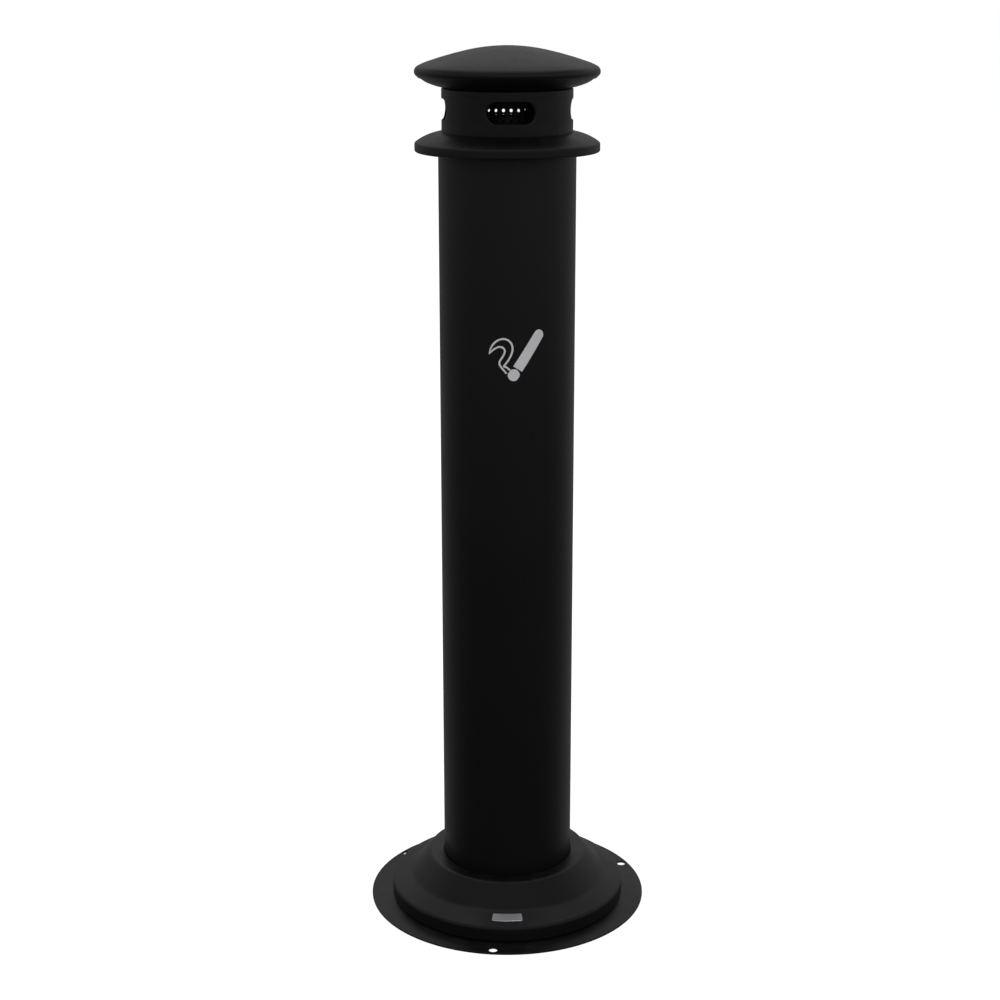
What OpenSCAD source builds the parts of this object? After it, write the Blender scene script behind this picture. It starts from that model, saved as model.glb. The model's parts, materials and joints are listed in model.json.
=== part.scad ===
// Free-standing street ashtray bin. A steel post is fixed to the floor through a thin round
// plate under a bell-shaped cover. A galvanised canister hangs inside the post from a ledge.
// The head (collar, slotted drum, screen and cap) drops into the mouth of the post.
// Millimetres, +Z up, origin on the floor on the axis of the post, front of the bin at -Y.

/* [Overall] */
// Height of the bin from the floor to the top of the cap
overall_h = 990; // [800:10:1100]
// Thickness of the spun sheet of the cap and the collar
sheet_t = 1.2; // [1:0.1:1.5]

/* [Post] */
// Outside diameter of the post tube
tube_d = 150; // [150:1:160]
// Wall thickness of the post tube
tube_wall = 1.5; // [1.2:0.1:1.6]

/* [Base] */
// Diameter of the floor plate
plate_d = 324; // [320:1:360]
// Thickness of the floor plate
plate_t = 2; // [1.5:0.5:4]
// Number of anchor holes in the floor plate
anchor_count = 3; // [3:1:6]
// Diameter of the circle through the anchor holes
anchor_pcd = 308; // [300:1:310]
// Diameter of each anchor hole
anchor_hole_d = 10; // [8:1:12]
// Turn of the first anchor hole from the front of the bin
anchor_turn = -6; // [-30:1:30]
// Diameter of the upright wall of the bell cover
bell_d = 274; // [270:1:280]
// Height of that upright wall
bell_wall_h = 13; // [8:1:20]

/* [Head] */
// Diameter of the cap
cap_d = 200; // [196:1:220]
// Diameter of the rain collar
collar_d = 201; // [190:1:210]
// Height of the skirt under the collar's edge
collar_skirt_h = 8; // [6:1:12]
// Outside diameter of the slotted drum
drum_d = 142.2; // [141:0.2:142.2]
// Height of the drum that shows between the collar and the cap
drum_show_h = 47; // [40:1:60]
// Length of drum that reaches down into the post
spigot_h = 42; // [26:1:42]
// Number of butt slots around the drum
slot_count = 4; // [3:1:5]
// Length of a butt slot, measured straight across
slot_w = 51; // [40:1:54]
// Height of a butt slot
slot_h = 23; // [16:1:26]
// Turn of the whole head from the front of the bin
head_turn = 3.3; // [-15:0.1:15]

/* [Screen] */
// Diameter of the perforated screen behind the slots
screen_d = 80; // [70:1:84]
// Height of the screen below the cap
screen_h = 46; // [40:1:50]
// Number of holes around the screen
screen_holes = 30; // [20:1:32]
// Number of rows of holes
screen_rows = 4; // [2:1:5]
// Diameter of each hole in the screen
screen_hole_d = 3.5; // [3:0.5:4]

/* [Canister] */
// Outside diameter of the canister
canister_d = 138; // [130:1:138]
// Height of the canister
canister_h = 300; // [200:10:400]
// Wall thickness of the canister
canister_wall = 0.8; // [0.6:0.1:1]
// Diameter of the wire of the bail handle
bail_wire_d = 4; // [3:0.5:4]

/* [Markings] */
// Height of the centre of the pictogram above the floor
decal_z = 669; // [500:1:750]
// Turn of the pictogram from the front of the bin
decal_turn = 8; // [-30:1:30]
// Width of the foil plate on the bell
label_w = 34; // [20:1:50]
// Height of the foil plate along the slope of the bell
label_h = 10.5; // [8:0.5:12]

/* [Hidden] */
$fn = 120;
small_fn = 48;
bead_fn = 32;
hole_fn = 24;

front = -90;
touch = 0.02;
cut = 1;
bend_step = 5;

tube_r = tube_d / 2;
tube_bore_r = tube_r - tube_wall;

// Base: studs welded to the floor plate clamp the disc in the foot of the post
drain_d = 20;
foot_t = 6;
foot_bore_d = 40;
stud_count = 3;
stud_pcd = 100;
stud_d = 8;
stud_len = 20;
stud_turn = 30;
washer_t = 1.6;
washer_d = 16;
nut_h = 6.8;
nut_flats = 13;
stud_clear = 1;
washer_clear = 0.2;
thread_clear = 0.1;
foot_top = plate_t + foot_t;

// Bell: slopes of its ring and its flank, the bends between them and the level lip round the post
bell_t = 1.5;
bell_foot_w = 10;
bell_foot_r = 2;
bell_slope = 23.6;
bell_ring_w = 19.65;
shoulder_r = 4;
crease_r = 14;
flank_slope = 49;
flank_w = 27.3;
lip_r = 6;
lip_gap = 0.6;

// Head: heights are counted down from the top of the cap
pan_slope = 43;
pan_rise_w = 34.1;
hem_w = 3;
hem_bend_r = 5;
drum_t = 1.5;
drum_r = drum_d / 2;
drum_bend_r = 2.5;
drum_flange_edge = 5;
slot_drop = 23;

// Screen
screen_t = 1;
screen_r = screen_d / 2;
screen_flange_w = 12;
screen_foot_r = 4;
screen_neck_r = 1.5;
screen_row_drop = 22;
screen_row_pitch = 5.8;
screen_hole_turn = -3.3;
ash_hole_count = 12;
ash_hole_ring_r = 22;

// Rivets
rivet_d = 4;
rivet_head_d = 7.5;
rivet_head_h = 1.4;
rivet_count = 4;
rivet_turn = 45;
rivet_edge_gap = 0.2;
rivet_cut_h = 10;

// Canister and its handle
ledge_h = 6;
ledge_clear = 0.6;
ledge_drop = 100;
canister_r = canister_d / 2;
canister_bore_r = canister_r - canister_wall;
bead_r = 2;
bead_sink = 0.4;
canister_rim_h = 8;
canister_bend_r = 2;
ear_t = 1.5;
ear_w = 18;
ear_rise = 6.2;
ear_depth = 26;
ear_rivet_gap = 10;
ear_rivet_drop = 13;
ear_rivet_sink = 0.1;
ear_rivet_back = 1;
ear_rivet_cut_h = 6;
ear_round_r = ear_rise - 0.4;
pivot_clear = 0.075;
bail_r = 62;
bail_head_d = 6.4;
bail_head_t = 1;
bail_pin_show = 1.6;
grip_d = 10;
grip_sweep = 56;

// Seat ring
seat_flange_h = 2.6;
seat_lip_h = 12;
seat_clear = 0.1;
seat_lip_clear = 0.2;
seat_top_gap = 0.2;
seat_top_slope = 6;
seat_edge_slope = 10;

// Markings
decal_t = 0.2;
decal_band_h = 100;
decal_slope = 57.5;
decal_bar_w = 11;
decal_bar_len = 53;
decal_gap = 1.3;
ember = [-3.5, -22];
ember_r = 6.4;
smoke_mid = [-16.5, 6];
smoke_r = 13.5;
smoke_bite = [-22, 0];
smoke_bite_r = 10;
smoke_foot = [-16.5, -6.5];
smoke_neck_turn = -55;
smoke_neck_len = 12;
smoke_w = 2;
label_t = 0.5;
label_inset = 7.4;

// A sheet outline is walked from point to point. A point is [r, z, heading]. A step is
// [length] for a flat or [radius, turn] for a bend, and a positive turn is to the left.
function flat_run(p, s) = [[p[0] + s[0] * cos(p[2]), p[1] + s[0] * sin(p[2]), p[2]]];
function bend_run(p, s) =
    let (
        side = sign(s[1]),
        mid_r = p[0] - s[0] * side * sin(p[2]),
        mid_z = p[1] + s[0] * side * cos(p[2]),
        count = max(2, ceil(abs(s[1]) / bend_step))
    )
    [for (i = [1:count])
        let (h = p[2] + s[1] * i / count)
        [mid_r + s[0] * side * sin(h), mid_z - s[0] * side * cos(h), h]];
function run(p, s) = len(s) == 1 ? flat_run(p, s) : bend_run(p, s);
function last(v) = v[len(v) - 1];
function walk(p, steps, i = 0) =
    i == len(steps) ? [p] :
    let (points = run(p, steps[i]))
    concat([p], [for (k = [0:1:len(points) - 2]) points[k]], walk(last(points), steps, i + 1));
function raise(path, dz) = [for (p = path) [p[0], p[1] + dz, p[2]]];

// The outline of a sheet of thickness t on the left of a path
function sheet(path, t) = concat(
    [for (p = path) [p[0], p[1]]],
    [for (i = [len(path) - 1:-1:0])
        let (p = path[i])
        [p[0] - t * sin(p[2]), p[1] + t * cos(p[2])]]
);

// Pan of the cap: flat middle, then three bends up to its slope, then the edge inside the hem
pan_bends = [[40, 15], [75, 8], [25, 20], [1.7]];
pan_flat_r = cap_d / 2 - pan_rise_w;
pan_path_low = walk([0, 0, 0], concat([[pan_flat_r]], pan_bends));
pan_hem = last(pan_path_low);

// Dome of the cap: hem under the pan, rim bend, shoulder, flank and a crown that closes on the axis
hem_start = [
    pan_hem[0] + (sheet_t + touch) * sin(pan_slope),
    pan_hem[1] - (sheet_t + touch) * cos(pan_slope),
    pan_slope
];
hem_flat = (cap_d / 2 - hem_start[0] - hem_bend_r * (1 - cos(90 - pan_slope))) / cos(pan_slope);
flank_steps = [[hem_flat], [hem_bend_r, 90 - pan_slope], [7, 62], [66, 9], [400, 6.5]];
flank_path = walk(hem_start, flank_steps);
crown_turn = 12.5;
crown_r = last(flank_path)[0] / sin(crown_turn);
dome_path_low = walk(hem_start, concat(flank_steps, [[crown_r, crown_turn]]));
pan_z = overall_h - last(dome_path_low)[1];

// Collar: a turned-in lip, the skirt, the edge and the dome that runs in to the drum
collar_r = collar_d / 2;
collar_lip_w = 5;
collar_hem_r = 2;
collar_end_slope = 6;
collar_start = [collar_r - collar_lip_w - collar_hem_r, 0, 0];
collar_steps = [[collar_lip_w], [collar_hem_r, 90], [collar_skirt_h - collar_hem_r], [3, 54], [57.4, 30]];
collar_bend_end_r = last(walk(collar_start, collar_steps))[0];
collar_in = (collar_bend_end_r - drum_r - touch - sheet_t * sin(collar_end_slope)) / cos(collar_end_slope);
collar_path_low = walk(collar_start, concat(collar_steps, [[collar_in]]));
collar_top_z = pan_z - drum_show_h;
collar_z = collar_top_z - last(collar_path_low)[1];

// Seat ring: its top follows the underside of the collar
seat_r = tube_r + 1;
seat_top_in = collar_top_z - sheet_t - seat_top_gap - (seat_r - drum_r) * tan(seat_edge_slope);
mouth_z = seat_top_in - seat_flange_h;
spigot_z = mouth_z - spigot_h;

slot_z = pan_z - slot_drop;
ledge_r = canister_r + ledge_clear;
ledge_z = mouth_z - ledge_drop - ledge_h;
bead_z = ledge_z + ledge_h + bead_r;
canister_z = bead_z - canister_h;
pivot_z = bead_z + bead_r + ear_rise;
ear_x = sqrt(pow(canister_bore_r, 2) - pow(ear_w / 2, 2)) - ear_t - touch;
ear_rivet_z = bead_z - ear_rivet_drop;
rivet_ring_r = pan_flat_r - rivet_head_d / 2 - rivet_edge_gap;
drum_flange_w = drum_r - rivet_ring_r + drum_flange_edge;
screen_rivet_r = screen_r + (screen_neck_r + screen_flange_w) / 2;

module at_angle(turn, r) {
    rotate([0, 0, turn])
        translate([r, 0, 0])
            children();
}

module ring_of(count, turn, r) {
    for (i = [0:count - 1])
        at_angle(turn + i * 360 / count, r)
            children();
}

module ring(outer_r, inner_r, z, h) {
    translate([0, 0, z])
        difference() {
            cylinder(r = outer_r, h = h);
            translate([0, 0, -cut])
                cylinder(r = inner_r, h = h + 2 * cut);
        }
}

module spun(path, t) {
    rotate_extrude()
        polygon(sheet(path, t));
}

// A slot shape with round ends, centred, lying along X
module obround(w, h) {
    square([w - h, h], center = true);
    for (side = [-1, 1])
        translate([side * (w - h) / 2, 0])
            circle(d = h);
}

module floor_plate() {
    color("#17181a")
        difference() {
            cylinder(d = plate_d, h = plate_t);
            translate([0, 0, -cut])
                cylinder(d = drain_d, h = plate_t + 2 * cut);
            ring_of(anchor_count, front + anchor_turn, anchor_pcd / 2)
                translate([0, 0, -cut])
                    cylinder(d = anchor_hole_d, h = plate_t + 2 * cut);
        }
}

// Outer face of the bell from its foot: wall, shoulder, ring, flank and a lip level_w wide
function bell_path(level_w) = walk([bell_d / 2 - bell_foot_w, plate_t, 0], [
    [bell_foot_w - bell_foot_r], [bell_foot_r, 90], [bell_wall_h], [shoulder_r, 90 - bell_slope],
    [bell_ring_w], [crease_r, bell_slope - flank_slope], [flank_w], [lip_r, flank_slope], [level_w]
]);

module base_bell() {
    level_w = last(bell_path(0))[0] - tube_r - lip_gap;
    color("#17181a")
        spun(bell_path(level_w), bell_t);
}

module post_tube() {
    color("#17181a")
        ring(tube_r, tube_bore_r, plate_t, mouth_z - plate_t);
}

module foot_disc() {
    color("#2a2b2d")
        translate([0, 0, plate_t])
            difference() {
                cylinder(r = tube_bore_r - touch, h = foot_t);
                translate([0, 0, -cut])
                    cylinder(d = foot_bore_d, h = foot_t + 2 * cut);
                ring_of(stud_count, stud_turn, stud_pcd / 2)
                    translate([0, 0, -cut])
                        cylinder(d = stud_d + stud_clear, h = foot_t + 2 * cut);
            }
}

module foot_studs() {
    color("#b9bcc0")
        ring_of(stud_count, stud_turn, stud_pcd / 2)
            translate([0, 0, plate_t])
                cylinder(d = stud_d, h = stud_len);
}

module foot_washers() {
    color("#c4c6c9")
        ring_of(stud_count, stud_turn, stud_pcd / 2)
            ring(washer_d / 2, stud_d / 2 + washer_clear, foot_top, washer_t);
}

module foot_nuts() {
    color("#b0b3b7")
        ring_of(stud_count, stud_turn, stud_pcd / 2)
            translate([0, 0, foot_top + washer_t])
                difference() {
                    cylinder(d = nut_flats / cos(30), h = nut_h, $fn = 6);
                    translate([0, 0, -cut])
                        cylinder(d = stud_d + thread_clear, h = nut_h + 2 * cut);
                }
}

module canister_ledge() {
    color("#2a2b2d")
        ring(tube_bore_r - touch, ledge_r, ledge_z, ledge_h);
}

// Pictogram of a lit cigarette under a curl of smoke, drawn flat and centred
module pictogram() {
    translate(ember)
        rotate([0, 0, decal_slope]) {
            difference() {
                translate([0, -decal_bar_w / 2])
                    square([decal_bar_len, decal_bar_w]);
                circle(r = ember_r + decal_gap);
            }
            translate([decal_bar_len, 0])
                circle(d = decal_bar_w);
            intersection() {
                circle(r = ember_r);
                square([3 * ember_r, decal_bar_w], center = true);
            }
        }
    difference() {
        smoke_crescent(0);
        smoke_crescent(smoke_w);
    }
    translate(smoke_foot)
        rotate([0, 0, smoke_neck_turn])
            square([smoke_neck_len, smoke_w]);
}

// The curl of smoke is one round with a second round bitten out of it
module smoke_crescent(inset) {
    difference() {
        translate(smoke_mid)
            circle(r = smoke_r - inset);
        translate(smoke_bite)
            circle(r = smoke_bite_r + inset);
    }
}

module smoking_decal() {
    color("#b4b4b8")
        intersection() {
            ring(tube_r + touch + decal_t, tube_r + touch, decal_z - decal_band_h / 2, decal_band_h);
            rotate([0, 0, decal_turn])
                translate([0, 0, decal_z])
                    rotate([90, 0, 0])
                        linear_extrude(tube_d)
                            pictogram();
        }
}

// The foil plate lies on the sloping ring of the bell and follows its curve
module base_label() {
    shoulder = last(walk(
        [bell_d / 2, plate_t + bell_foot_r + bell_wall_h, 90],
        [[shoulder_r, 90 - bell_slope]]
    ));
    start = last(walk(shoulder, [[label_inset]]));
    lift = [start[0] + touch * cos(90 - bell_slope), start[1] + touch * sin(90 - bell_slope)];
    sweep = label_w / start[0] * 180 / PI;
    color("#b9bcc2")
        rotate([0, 0, front - sweep / 2])
            rotate_extrude(angle = sweep)
                translate(lift)
                    rotate([0, 0, 180 - bell_slope])
                        translate([0, -label_t])
                            square([label_h, label_t]);
}

// Wall of the canister with its wired rim, which hangs on the ledge
module canister_shell() {
    color("#a9adb0")
        difference() {
            union() {
                ring(canister_r, canister_bore_r, canister_z, canister_h);
                translate([0, 0, bead_z])
                    rotate_extrude()
                        translate([canister_r + bead_r - bead_sink, 0])
                            circle(r = bead_r, $fn = bead_fn);
            }
            ear_rivet_places()
                cylinder(d = rivet_d, h = ear_rivet_cut_h);
        }
}

module canister_base() {
    base_r = canister_bore_r - touch;
    start = [base_r, canister_z, 90];
    color("#9fa3a6")
        spun(walk(start, [
            [canister_rim_h - canister_bend_r], [canister_bend_r, 90], [base_r - canister_bend_r]
        ]), canister_wall);
}

// The axis of each ear rivet, pointing outwards, starting inside the ear
module ear_rivet_places() {
    for (side = [0, 180], y = [-1, 1] * ear_rivet_gap / 2)
        rotate([0, 0, side])
            translate([ear_x - ear_rivet_back, y, ear_rivet_z])
                rotate([0, 90, 0])
                    children();
}

// Two flat ears riveted inside the rim, each with a round top and a pivot hole
module handle_ears() {
    color("#9a9ea2")
        for (side = [0, 180])
            rotate([0, 0, side])
                difference() {
                    translate([ear_x, 0, 0])
                        rotate([90, 0, 90])
                            linear_extrude(ear_t)
                                ear_outline();
                    for (y = [-1, 1] * ear_rivet_gap / 2)
                        translate([ear_x - cut, y, ear_rivet_z])
                            rotate([0, 90, 0])
                                cylinder(d = rivet_d, h = ear_t + 2 * cut);
                }
}

module ear_outline() {
    difference() {
        union() {
            translate([-ear_w / 2, pivot_z - ear_depth])
                square([ear_w, ear_depth - ear_rise]);
            translate([0, pivot_z])
                circle(r = ear_round_r);
            translate([-ear_round_r, pivot_z - ear_rise - 1])
                square([2 * ear_round_r, ear_rise + 1]);
        }
        translate([0, pivot_z])
            circle(r = bail_wire_d / 2 + pivot_clear);
    }
}

module ear_rivets() {
    reach = canister_r - ear_x + ear_rivet_back - ear_rivet_sink;
    color("#c8cacd")
        ear_rivet_places() {
            cylinder(d = rivet_d - touch, h = reach);
            translate([0, 0, ear_rivet_back - rivet_head_h - touch])
                cylinder(d = rivet_head_d, h = rivet_head_h);
        }
}

// Half a hoop of wire lying flat over the rim, its ends turned out through the ears
module bail_wire() {
    wire_r = bail_wire_d / 2;
    pin_len = ear_x + ear_t + bail_pin_show - bail_r;
    color("#c8cacd")
        translate([0, 0, pivot_z]) {
            rotate_extrude(angle = 180)
                translate([bail_r, 0])
                    circle(r = wire_r, $fn = bead_fn);
            for (side = [0, 180])
                rotate([0, 0, side])
                    translate([bail_r, 0, 0]) {
                        sphere(r = wire_r, $fn = small_fn);
                        rotate([0, 90, 0])
                            cylinder(r = wire_r, h = pin_len, $fn = small_fn);
                        translate([pin_len - bail_head_t, 0, 0])
                            rotate([0, 90, 0])
                                cylinder(d = bail_head_d, h = bail_head_t, $fn = small_fn);
                    }
        }
}

module bail_grip() {
    color("#1f2022")
        translate([0, 0, pivot_z])
            rotate([0, 0, 90 - grip_sweep / 2])
                rotate_extrude(angle = grip_sweep)
                    translate([bail_r, 0])
                        difference() {
                            circle(d = grip_d, $fn = small_fn);
                            circle(d = bail_wire_d + 2 * touch, $fn = small_fn);
                        }
}

// Nylon ring: a flange over the edge of the tube and a lip down inside it
module seat_ring() {
    bore = drum_r + seat_clear;
    lip_outer_r = tube_bore_r - seat_lip_clear;
    rise = (seat_r - bore) * tan(seat_top_slope);
    color("#3c3e40")
        rotate_extrude()
            polygon([
                [bore, mouth_z - seat_lip_h], [lip_outer_r, mouth_z - seat_lip_h],
                [lip_outer_r, mouth_z + touch], [seat_r, mouth_z + touch],
                [seat_r, seat_top_in], [bore, seat_top_in + rise]
            ]);
}

// Drum with a flange turned in under the cap pan and the butt slots through its wall
module drum() {
    wall_h = pan_z - drum_bend_r - spigot_z;
    steps = [[wall_h], [drum_bend_r, 90], [drum_flange_w - drum_bend_r]];
    color("#17181a")
        rotate([0, 0, head_turn])
            difference() {
                spun(walk([drum_r, spigot_z, 90], steps), drum_t);
                for (i = [0:slot_count - 1])
                    rotate([0, 0, i * 360 / slot_count])
                        translate([0, 0, slot_z])
                            rotate([90, 0, 0])
                                linear_extrude(tube_d)
                                    obround(slot_w, slot_h);
                rivet_holes(rivet_ring_r);
            }
}

module collar() {
    color("#17181a")
        spun(raise(collar_path_low, collar_z), sheet_t);
}

module cap_dome() {
    color("#1b1c1e")
        spun(raise(dome_path_low, pan_z), sheet_t);
}

module cap_pan() {
    path = walk([0, pan_z, 0], concat([[pan_flat_r]], pan_bends, [[hem_w]]));
    color("#17181a")
        rotate([0, 0, head_turn])
            difference() {
                spun(path, sheet_t);
                rivet_holes(rivet_ring_r);
                rivet_holes(screen_rivet_r);
            }
}

module rivet_holes(r) {
    ring_of(rivet_count, rivet_turn, r)
        translate([0, 0, pan_z - rivet_cut_h / 2])
            cylinder(d = rivet_d, h = rivet_cut_h, $fn = small_fn);
}

// Perforated cup hung from the pan by its flange, open at the top and with ash holes below
module stub_screen() {
    low_z = pan_z - screen_h;
    steps = [
        [screen_r - screen_foot_r], [screen_foot_r, 90],
        [screen_h - screen_t - screen_foot_r - screen_neck_r],
        [screen_neck_r, -90], [screen_flange_w - screen_neck_r]
    ];
    color("#101113")
        rotate([0, 0, head_turn])
            difference() {
                spun(walk([0, low_z, 0], steps), screen_t);
                screen_perforation();
                ring_of(ash_hole_count, 0, ash_hole_ring_r)
                    translate([0, 0, low_z - cut])
                        cylinder(d = screen_hole_d, h = screen_t + 2 * cut, $fn = hole_fn);
                rivet_holes(screen_rivet_r);
            }
}

// Short cutters that pass only through the wall of the screen
module screen_perforation() {
    pitch = 360 / screen_holes;
    for (row = [0:screen_rows - 1])
        translate([0, 0, pan_z - screen_row_drop - row * screen_row_pitch])
            ring_of(screen_holes, front + screen_hole_turn + pitch / 2, screen_r - screen_t - cut)
                rotate([0, 90, 0])
                    cylinder(d = screen_hole_d, h = screen_t + 2 * cut, $fn = hole_fn);
}

// A rivet through the pan and the flange below it, with a head on each side
module pan_rivets(r, flange_t) {
    color("#8f9296")
        rotate([0, 0, head_turn])
            ring_of(rivet_count, rivet_turn, r) {
                translate([0, 0, pan_z - flange_t - rivet_head_h])
                    cylinder(d = rivet_head_d, h = rivet_head_h - touch, $fn = small_fn);
                translate([0, 0, pan_z - flange_t - rivet_head_h])
                    cylinder(d = rivet_d - touch, h = flange_t + sheet_t + 2 * rivet_head_h, $fn = small_fn);
                translate([0, 0, pan_z + sheet_t + touch])
                    cylinder(d = rivet_head_d, h = rivet_head_h - touch, $fn = small_fn);
            }
}

module drum_rivets() {
    pan_rivets(rivet_ring_r, drum_t);
}

module screen_rivets() {
    pan_rivets(screen_rivet_r, screen_t);
}

floor_plate();
base_bell();
post_tube();
foot_disc();
foot_studs();
foot_washers();
foot_nuts();
canister_ledge();
smoking_decal();
base_label();
canister_shell();
canister_base();
handle_ears();
ear_rivets();
bail_wire();
bail_grip();
seat_ring();
drum();
collar();
cap_dome();
cap_pan();
stub_screen();
drum_rivets();
screen_rivets();
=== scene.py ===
import json
import math

import bmesh
import bpy
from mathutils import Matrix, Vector


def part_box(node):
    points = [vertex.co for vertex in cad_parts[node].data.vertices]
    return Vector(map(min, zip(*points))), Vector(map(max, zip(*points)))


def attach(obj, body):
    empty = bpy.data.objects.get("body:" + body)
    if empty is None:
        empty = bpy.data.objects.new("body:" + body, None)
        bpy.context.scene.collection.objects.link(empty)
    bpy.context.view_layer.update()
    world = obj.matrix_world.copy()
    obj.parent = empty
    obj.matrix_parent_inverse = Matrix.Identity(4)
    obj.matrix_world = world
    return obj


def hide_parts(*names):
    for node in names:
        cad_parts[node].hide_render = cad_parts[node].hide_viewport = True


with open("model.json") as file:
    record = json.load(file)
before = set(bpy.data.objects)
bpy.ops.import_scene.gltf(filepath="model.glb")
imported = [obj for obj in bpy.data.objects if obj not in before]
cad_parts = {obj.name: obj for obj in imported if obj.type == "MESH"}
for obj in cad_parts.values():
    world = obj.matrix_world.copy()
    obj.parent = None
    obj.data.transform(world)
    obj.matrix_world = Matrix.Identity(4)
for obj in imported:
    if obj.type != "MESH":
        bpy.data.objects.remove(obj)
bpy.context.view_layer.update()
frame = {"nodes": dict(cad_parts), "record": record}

# ---------------------------------------------------------------- sizes, in metres
MM = 0.001
TOUCH = 1e-7  # closer than this is the same point
AXIS_R = 1e-5  # closer to the axis than this is on it
TURNS = 256  # points round a turned piece
BEND_STEP = 3.0  # degrees of a bend between two points of an outline
EDGE_EASE = 0.35 * MM
EASE_POINTS = 5  # points that take a corner's place
CORNER_TURN = 35.0  # an outline that turns by less than this has no corner there
SHARP_TURN = 30.0  # an edge between faces that turn by more is shaded sharp
HAIR = 0.02 * MM  # gap that keeps touching pieces from sharing a surface
SHEET_T = 1.2 * MM  # cap and collar
BELL_T = 1.5 * MM
DRUM_T = 1.5 * MM
TUBE_T = 1.5 * MM
SCREEN_T = 1.0 * MM
CANISTER_T = 0.8 * MM

FRONT = -90.0  # direction of the camera seen from the post, in degrees
DECAL_TURN = 8.0  # the pictogram's middle, right of the front
HEAD_TURN = 3.3  # the front slot's middle, right of the front
PLATE_TURN = -6.0  # the front anchor hole, left of the front

SLOT_W, SLOT_H = 51 * MM, 23 * MM
SLOT_DROP = 23 * MM  # from the pan down to a slot's middle
SLOT_COUNT = 4
RIVET_COUNT = 4
RIVET_TURN = 45.0  # from the middle of a slot to the next rivet
RIVET_HEAD_R = 3.75 * MM
BELL_SLOPE = 23.6  # of the bell's ring, in degrees
PAN_SLOPE = 43.0  # of the pan at its edge
HOOP_R = 62 * MM  # centre line of the bail


def low(node):
    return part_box(node)[0]


def high(node):
    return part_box(node)[1]


tube_r = high("post_tube").x
drum_r = high("drum").x
cap_r = high("cap_dome").x
pan_z = low("cap_pan").z


# ---------------------------------------------------------------- outlines
def walk(start, steps):
    """Points (r, z, heading) along a sheet, by steps (length,) or (radius, turn), left positive."""
    r, z, heading = start
    path = [(r, z, heading)]
    for step in steps:
        if len(step) == 1:
            a = math.radians(heading)
            r, z = r + step[0] * math.cos(a), z + step[0] * math.sin(a)
            path.append((r, z, heading))
            continue
        radius, turn = step
        side = math.copysign(1, turn)
        a = math.radians(heading)
        mid_r = r - radius * side * math.sin(a)
        mid_z = z + radius * side * math.cos(a)
        count = max(3, math.ceil(abs(turn) / BEND_STEP))
        for i in range(1, count + 1):
            h = heading + turn * i / count
            a = math.radians(h)
            path.append((mid_r + radius * side * math.sin(a),
                         mid_z - radius * side * math.cos(a), h))
        r, z, heading = path[-1]
    return path


def sheet(path, t):
    """Closed outline of a sheet of thickness t on the left of a path."""
    near = [(r, z) for r, z, _ in path]
    far = []
    for r, z, h in reversed(path):
        a = math.radians(h)
        far.append((max(r - t * math.sin(a), 0.0), z + t * math.cos(a)))
    return near + far


def eased(outline, ease=EDGE_EASE):
    """Rounds each corner of a closed outline, but not on the axis."""
    points = []
    count = len(outline)
    for i, corner in enumerate(outline):
        here = Vector(corner)
        back = Vector(outline[i - 1]) - here
        ahead = Vector(outline[(i + 1) % count]) - here
        turn = 180 - math.degrees(back.angle(ahead)) if back.length and ahead.length else 0
        if turn < CORNER_TURN or here.x < AXIS_R:
            points.append(corner)
            continue
        # each corner leaves more than half of both its sides to its neighbours
        reach = min(ease, back.length * 0.45, ahead.length * 0.45)
        a, b = here + back.normalized() * reach, here + ahead.normalized() * reach
        for k in range(EASE_POINTS):
            t = k / (EASE_POINTS - 1)
            p = a * (1 - t) ** 2 + here * 2 * t * (1 - t) + b * t ** 2
            points.append((p.x, p.y))
    return points


# ---------------------------------------------------------------- meshes
def finish_mesh(name, bm):
    """Turns a bmesh into an object, smooth except at its sharp edges."""
    bmesh.ops.remove_doubles(bm, verts=bm.verts, dist=TOUCH)
    bmesh.ops.recalc_face_normals(bm, faces=bm.faces)
    mesh = bpy.data.meshes.new(name)
    bm.to_mesh(mesh)
    bm.free()
    for polygon in mesh.polygons:
        polygon.use_smooth = True
    mesh.set_sharp_from_angle(angle=math.radians(SHARP_TURN))
    piece = bpy.data.objects.new(name, mesh)
    bpy.context.scene.collection.objects.link(piece)
    return piece


def ring_verts(bm, r, z, angles, centre=(0.0, 0.0)):
    """A ring of vertices, or one vertex on the axis."""
    if r < TOUCH:
        return [bm.verts.new((centre[0], centre[1], z))]
    return [bm.verts.new((centre[0] + r * math.cos(a), centre[1] + r * math.sin(a), z))
            for a in angles]


def bridge(bm, a, b, closed=True):
    """Faces between two rows of vertices; a row of one vertex is a pole."""
    if len(a) == 1 and len(b) == 1:
        return
    count = max(len(a), len(b))
    for i in range(count if closed else count - 1):
        j = (i + 1) % count
        if len(a) == 1:
            bm.faces.new((a[0], b[i], b[j]))
        elif len(b) == 1:
            bm.faces.new((a[i], b[0], a[j]))
        else:
            bm.faces.new((a[i], b[i], b[j], a[j]))


def border(grid):
    """The vertices round a grid, from its first row."""
    return (grid[0] + [row[-1] for row in grid[1:-1]] + grid[-1][::-1]
            + [row[0] for row in grid[-2:0:-1]])


def even_angles(count, start=0.0):
    return [start + 2 * math.pi * i / count for i in range(count)]


def lathe_into(bm, outline, turns=TURNS, centre=(0.0, 0.0)):
    """Turns a closed outline of points (r, z) about a vertical axis through centre."""
    angles = even_angles(turns)
    rows = [ring_verts(bm, r, z, angles, centre) for r, z in outline]
    for a, b in zip(rows, rows[1:] + rows[:1]):
        bridge(bm, a, b)


def lathe(name, outline):
    bm = bmesh.new()
    lathe_into(bm, outline)
    return finish_mesh(name, bm)


def place(piece, body, material, replaced):
    """Gives a piece its body and material, and hides the node that it stands for."""
    piece.data.materials.clear()
    piece.data.materials.append(material)
    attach(piece, body)
    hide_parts(replaced)
    return piece


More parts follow.
